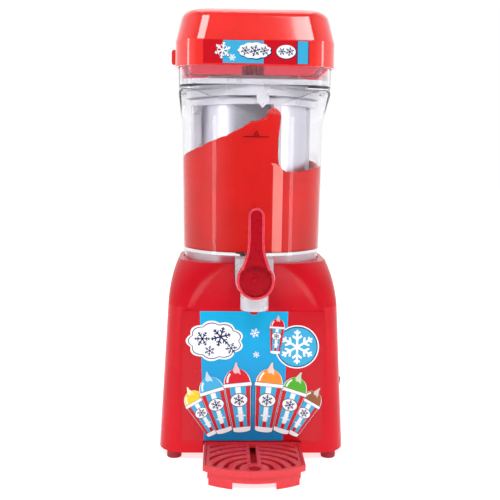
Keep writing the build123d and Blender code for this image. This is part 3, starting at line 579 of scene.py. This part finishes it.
def draw_cup(art, u, v, turn, scale, flavour, layer):
    """A paper cup with stripes and a snowflake, a domed lid and a swirl of slush in it."""
    def put(points, ink, lift):
        art.add(moved(points, u, v, turn, scale), ink, layer + lift)

    foot = oval(0, 0.4, CUP_FOOT, 1.8, 16, 180, 360)
    body = foot + [cup_edge(1, CUP_HEIGHT), cup_edge(-1, CUP_HEIGHT)]
    outline = [(p * 1.05, q - 0.3) for p, q in body]
    put(outline, "navy", 1)
    put(body, "white", 2)
    for left, right, low, high, ink in (
            (-0.97, -0.62, 3.5, 42.0, "red"), (-0.62, -0.2, 3.5, 42.0, "sky"),
            (0.22, 0.62, 3.5, 42.0, "sky"),
            (0.62, 0.97, 3.5, 42.0, "red"), (-0.2, 0.22, 3.5, 9.0, "red")):
        put(cup_stripe(left, right, low, high), ink, 3)
    put(oval(0, 29.5, 8.4, 6.6, 32), "navy", 4)
    put(oval(0, 29.5, 7.7, 5.9, 32), "white", 5)
    put(snowflake(0, 29.5, 5.2, 0.17, 30), "navy", 6)
    put(snowflake(0.3, 14.5, 4.4, 0.16, 0), "white", 4)
    dome = oval(0, CUP_HEIGHT + 1.0, CUP_RIM - 0.5, 14.5, 28, 0, 180)
    swirl = [(u, CUP_HEIGHT + v) for u, v in (
        (-3.2, 14.0), (-1.6, 17.5), (0.2, 21.5), (1.5, 21.3), (1.6, 18.0), (3.4, 13.8), (3.8, 9.5),
        (1.2, 11.5), (-1.6, 11.0))]
    put([(p * 1.06, q) for p, q in dome], "white", 2)
    put(dome, flavour, 3)
    put(swirl, flavour + "_pale", 4)
    shine = [(u, CUP_HEIGHT + v) for u, v in (
        (-10.2, 3.0), (-8.4, 3.0), (-7.4, 7.5), (-5.2, 11.0), (-6.6, 11.8), (-9.0, 8.4))]
    put(shine, "white", 4)
    rim = [(-CUP_RIM - 0.9, CUP_HEIGHT - 1.6), (CUP_RIM + 0.9, CUP_HEIGHT - 1.6),
           (CUP_RIM + 0.7, CUP_HEIGHT + 1.6), (-CUP_RIM - 0.7, CUP_HEIGHT + 1.6)]
    put([(p * 1.03, q + (0.35 if q > CUP_HEIGHT else -0.35)) for p, q in rim], "navy", 4)
    put(rim, "white", 5)


FLAVOURS = {"yellow": (0.95, 0.62, 0.01), "blue": (0.05, 0.42, 0.72), "cherry": (0.68, 0.0, 0.012),
            "orange": (0.9, 0.27, 0.02), "green": (0.08, 0.42, 0.02), "brown": (0.3, 0.1, 0.035)}
# rows from the back of the fan to the front:
# distance from the middle, height, tilt, size, left and right flavour
CUP_ROWS = (
    (37.0, 27.3, 30.0, 0.8, "yellow", "brown"),
    (26.5, 29.3, 17.3, 0.94, "blue", "green"),
    (9.8, 30.3, 6.0, 1.03, "cherry", "orange"),
)


def ink_materials():
    inks = {
        "white": printed_film("ink_white", (0.9, 0.9, 0.92), 0.98),
        "navy": printed_film("ink_navy", (0.008, 0.018, 0.11)),
        "red": printed_film("ink_red", (0.58, 0.004, 0.014)),
        "sky": printed_film("ink_sky", (0.04, 0.4, 0.68)),
        "fade": printed_film("ink_fade", (0.0, 0.4, 0.72)),
        "dark": printed_film("ink_dark", (0.06, 0.005, 0.006)),
    }
    fade = inks["fade"]
    fade.colour(fade.ramp(fade.height(LABEL_LOW.z, LABEL_HIGH.z), [
        (0.0, (0.004, 0.21, 0.5)), (0.35, (0.004, 0.28, 0.62)), (1.0, (0.0, 0.42, 0.76))]))
    for name, colour in FLAVOURS.items():
        inks[name] = printed_film("ink_" + name, colour)
        pale = tuple(0.45 * c + 0.5 for c in colour)
        inks[name + "_pale"] = printed_film("ink_pale_" + name, pale)
    return {name: shader.material for name, shader in inks.items()}


def print_front_label():
    """Blue panel, cloud with snowflakes, round snowflake badge, and a fan of six drinks."""
    art = Print("front_label_print", "base", lambda u, v, w: Vector((u * MM, LABEL_LOW.y - w * MM, v * MM)))
    bottom = LABEL_LOW.z / MM
    top = LABEL_HIGH.z / MM
    art.add([(-46.5, bottom + 0.2), (29.8, bottom + 0.2), (33.0, top - 0.2), (-51.0, top - 0.2)], "fade", 1)
    art.add(oval(0.3, top - 0.2, 4.4, 3.2, 24, 180, 360), "red", 2)
    art.add(scalloped(-36.5, 118.0, 24.5, 17.5, 9, 0.13), "white", 3)
    art.add(scalloped(-36.5, 118.0, 22.8, 15.8, 9, 0.13), "navy", 4)
    art.add(scalloped(-36.5, 118.0, 22.0, 15.0, 9, 0.13), "white", 5)
    for u, v, r, turn in (
            (-48.5, 120.0, 7.4, 0), (-31.0, 122.0, 9.6, 14), (-41.5, 108.5, 5.0, 25),
            (-21.0, 111.0, 5.6, 8)):
        art.add(snowflake(u, v, r, 0.15, turn), "navy", 6)
    art.add(oval(42.0, 112.5, 21.0, 21.0, 72), "white", 3)
    art.add(oval(42.0, 112.5, 19.8, 19.8, 72), "navy", 4)
    art.add(oval(42.0, 112.5, 18.8, 18.8, 72), "sky", 5)
    art.add(snowflake(42.0, 112.5, 16.6, 0.13, 30), "white", 6)
    draw_cup(art, 21.0, 106.5, 4.0, 0.56, "cherry", 7)
    art.add(snowflake(1.5, 125.8, 4.6, 0.15, 12), "white", 3)
    art.add(snowflake(3.0, 104.8, 3.2, 0.16, 40), "white", 3)
    layer = 6
    for across, up, tilt, scale, left, right in CUP_ROWS:
        draw_cup(art, -across, up, -tilt, scale, left, layer)
        draw_cup(art, across + 1.0, up, tilt, scale, right, layer)
        layer += 7
    return art.build(INKS)


def lid_face(u, v, w):
    """A point on the lid's front band, which leans back a little as it rises."""
    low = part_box("lid_label")[0]
    lean = math.atan2(0.1, 24.0)
    rise = v * MM - low.z
    return Vector((u * MM, low.y + rise * math.tan(lean) - w * MM, v * MM))


def print_lid_label():
    """Blue block with snowflakes, a plain white plaque and small snowflakes."""
    art = Print("lid_label_print", "lid", lid_face)
    low, high = 379.8, 400.8
    art.add([(-31.3, low), (6.9, low), (6.9, high), (-31.3, high)], "sky", 1)
    art.add([(38.2, low), (49.5, low), (49.5, high), (38.2, high)], "navy", 1)
    art.add([(39.0, low), (48.8, low), (48.8, high), (39.0, high)], "sky", 2)
    art.add(scalloped(-1.0, 391.0, 15.0, 7.2, 11, 0.1), "navy", 3)
    art.add(scalloped(-1.6, 391.6, 14.4, 6.8, 11, 0.1), "white", 4)
    for u, r in ((-10.2, 4.4), (-1.4, 5.4), (7.6, 4.4)):
        art.add(snowflake(u, 391.4, r, 0.16, 15), "navy", 5)
    art.add(snowflake(-31.5, 391.0, 8.4, 0.14, 20), "navy", 3)
    art.add(snowflake(-31.5, 391.4, 7.8, 0.14, 20), "white", 4)
    art.add(snowflake(-22.5, 385.0, 3.4, 0.16, 0), "white", 3)
    art.add(oval(28.0, 390.6, 9.6, 6.8, 48), "navy", 3)
    art.add(oval(28.0, 390.9, 9.0, 6.2, 48), "white", 4)
    art.add(snowflake(24.2, 391.0, 3.6, 0.18, 0), "navy", 5)
    art.add(snowflake(31.4, 391.0, 4.2, 0.18, 20), "navy", 5)
    return art.build(INKS)


# ---------------------------------------------------------------- frozen drink
# upper edge of the drink: angle in degrees from the front towards the right side, and height in mm
DRINK_EDGE = (
    (-180, 300), (-140, 297), (-110, 294), (-84, 293), (-66, 297), (-50, 302), (-35, 308),
    (-21.5, 313.5), (-12, 319), (-4, 325.5), (3.0, 327.5), (8.2, 330), (9.4, 334), (10.4, 338),
    (13.0, 340.0), (16.0, 338.5), (18.0, 335.5), (18.8, 331), (19.0, 322), (19.2, 300), (19.5, 286),
    (23.4, 280.5), (26.5, 278.6), (33, 278.2), (46, 279.5), (62, 282.5), (90, 286), (120, 292),
    (150, 300), (180, 300),
)
DRINK_INSIDE = 66.2
DRINK_FLOOR = 199.7
STEP_Z = 284.0               # height of the step beside the drink's tall edge
THIN_FROM = 15.2             # the paddle's front bar leaves only a thin film of drink here
THIN_TO = 23.4
THIN_TOP = 284.2             # height where the film ends
FILL_LINE_R = 72.05
BEAD_R = 1.25


def drink_outside(z):
    """Radius of the drink's outer surface, which lies close behind the tank's wall."""
    low_z, low_r, flare = 199.5, 68.9, 0.0122
    return low_r + (z - low_z) * flare


def edge_lean(degrees, z):
    """How far the tall edge of the drink leans round the tank, in degrees, at a height."""
    near_edge = float(np.interp(degrees, (4.0, 15.0, 20.5, 27.0), (0.0, 1.0, 1.0, 0.0)))
    return near_edge * float(np.interp(z, (285.0, 287.0, 322.0, 331.0), (0.0, -2.2, 0.8, 2.2)))


def make_drink():
    """A shell of slush on the tank's wall with a ragged top, and a thin pale film over one bar."""
    turns = 600
    rows = 70
    low_rows = 50
    angles, heights = zip(*DRINK_EDGE)
    bm = bmesh.new()
    rings = []
    for i in range(turns):
        degrees = -180 + 360 * i / turns
        top = float(np.interp(degrees, angles, heights))
        a = math.radians(degrees)
        ragged = noise.fractal(Vector((9 * math.cos(a), 9 * math.sin(a), 0.3)), 0.8, 2.0, 3) * 0.9
        top += ragged
        profile = []
        step_z = min(top - 1.6, STEP_Z)
        for k in range(rows + 1):
            if k <= low_rows:
                z = DRINK_FLOOR + (step_z - DRINK_FLOOR) * k / low_rows
            else:
                z = step_z + (top - 1.0 - step_z) * (k - low_rows) / (rows - low_rows)
            profile.append((drink_outside(z), z))
        profile.append((drink_outside(top) - 0.6, top))
        profile.append((DRINK_INSIDE + 0.4, top - 0.2))
        profile.append((DRINK_INSIDE, top - 1.2))
        profile.append((DRINK_INSIDE, DRINK_FLOOR))
        ring = []
        for r, z in profile:
            a = math.radians(degrees + edge_lean(degrees, z))
            spot = Vector((r * math.sin(a), -r * math.cos(a), z))
            grain = noise.noise(spot * 0.45) * 0.06 + noise.noise(spot * 1.3) * 0.03
            r_worn = r - max(0.0, grain) if r > DRINK_INSIDE + 0.1 else r
            ring.append(bm.verts.new(Vector((r_worn * math.sin(a), -r_worn * math.cos(a), z)) * MM))
        rings.append(ring)
    count = len(rings[0])
    for i in range(turns):
        j = (i + 1) % turns
        degrees = -180 + 360 * (i + 0.5) / turns
        film = THIN_FROM < degrees < THIN_TO
        for k in range(count):
            n = (k + 1) % count
            face = bm.faces.new((rings[i][k], rings[j][k], rings[j][n], rings[i][n]))
            face.smooth = True
            low_enough = rings[i][k].co.z < THIN_TOP * MM
            face.material_index = 1 if film and low_enough else 0
    bmesh.ops.recalc_face_normals(bm, faces=bm.faces)
    mesh = bpy.data.meshes.new("drink")
    bm.to_mesh(mesh)
    bm.free()
    mesh.materials.append(MATERIALS["slush"])
    mesh.materials.append(icy_slush("slush_film", (0.86, 0.23, 0.2), (0.98, 0.6, 0.55)).material)
    drink = bpy.data.objects.new("drink", mesh)
    bpy.context.collection.objects.link(drink)
    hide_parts("slush_fill")
    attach(drink, "tank_group")
    return drink


def on_tank_wall(u, v, w):
    """A point on the tank's outside, given along the wall from the front, and by height."""
    angle = u / FILL_LINE_R
    r = FILL_LINE_R + 0.12 + w
    return Vector((r * math.sin(angle), -r * math.cos(angle), v)) * MM


def make_fill_line():
    """The fill mark: a fine line printed on the tank's front under a small level sign."""
    art = Print("fill_line", "tank_group", on_tank_wall)
    steps = 24
    lower = [(-11.0 + 24.5 * i / steps, 311.3) for i in range(steps + 1)]
    upper = [(u, 312.0) for u, v in lower[::-1]]
    art.add(lower + upper, "dark", 1)
    art.add([(-1.2, 313.0), (4.0, 313.0), (1.4, 317.6)][::-1], "dark", 1)
    art.add([(-0.2, 313.5), (3.0, 313.5), (1.4, 316.3)][::-1], "cherry", 2)
    return art.build(INKS)


# ---------------------------------------------------------------- lever bead
def lever_outline():
    """Points round the lever's front, drawn in to the middle of its raised edge."""
    disc_r, middle, half, top = 15.9, 181.0, 6.2, 240.0
    points = []
    for i in range(61):
        a = math.radians(32 - 244 * i / 60)
        points.append((disc_r * math.cos(a), middle + disc_r * math.sin(a)))
    left = [(-12.0, 192.0), (-10.6, 196.0), (-9.0, 200.2), (-7.6, 205.0), (-6.6, 210.0)]
    left += [(-half, v) for v in (216.0, 221.0, 232.0, top)]
    arch = [(half * math.cos(math.radians(180 - 15 * k)), top + half * math.sin(math.radians(180 - 15 * k)))
            for k in range(1, 12)]
    right = [(-u, v) for u, v in left[::-1]]
    return points + left + arch + right


def make_lever_bead():
    """The raised rounded edge that runs round the lever's disc and up its grip, in a lighter red that is a
    painted highlight.
    """
    path = lever_outline()
    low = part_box("tap_lever")[0]
    sides = 10
    bm = bmesh.new()
    rings = []
    count = len(path)
    for i, (u, v) in enumerate(path):
        before, after = path[i - 1], path[(i + 1) % count]
        along = Vector((after[0] - before[0], after[1] - before[1])).normalized()
        across = Vector((-along.y, along.x))
        front = low.y / MM + float(np.interp(v, (188.5, 192.0), (4.0, 0.5)))
        ring = []
        for k in range(sides):
            a = 2 * math.pi * k / sides
            out = across * math.cos(a) * BEAD_R
            ring.append(bm.verts.new(Vector((u + out.x, front + math.sin(a) * BEAD_R, v + out.y)) * MM))
        rings.append(ring)
    for i in range(count):
        j = (i + 1) % count
        for k in range(sides):
            n = (k + 1) % sides
            bm.faces.new((rings[i][k], rings[j][k], rings[j][n], rings[i][n])).smooth = True
    bmesh.ops.recalc_face_normals(bm, faces=bm.faces)
    mesh = bpy.data.meshes.new("lever_bead")
    bm.to_mesh(mesh)
    bm.free()
    # painted highlight: the bead's red is lighter than the lever's, standing in for light catching its
    # rounded edge
    mesh.materials.append(gloss_moulding("lever_edge_painted_highlight_red", (0.72, 0.02, 0.05), 0.3).material)
    bead = bpy.data.objects.new("lever_bead", mesh)
    bpy.context.collection.objects.link(bead)
    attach(bead, "tap")


# ---------------------------------------------------------------- assembly of the looks
make_camera()
make_studio()
LABEL_LOW, LABEL_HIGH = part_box("front_label")
MATERIALS = slot_materials()
INKS = ink_materials()
dress_nodes(MATERIALS)
print_front_label()
print_lid_label()
make_drink()
make_fill_line()
make_lever_bead()

scene = bpy.context.scene
scene.view_settings.view_transform = "Standard"
scene.view_settings.look = "None"
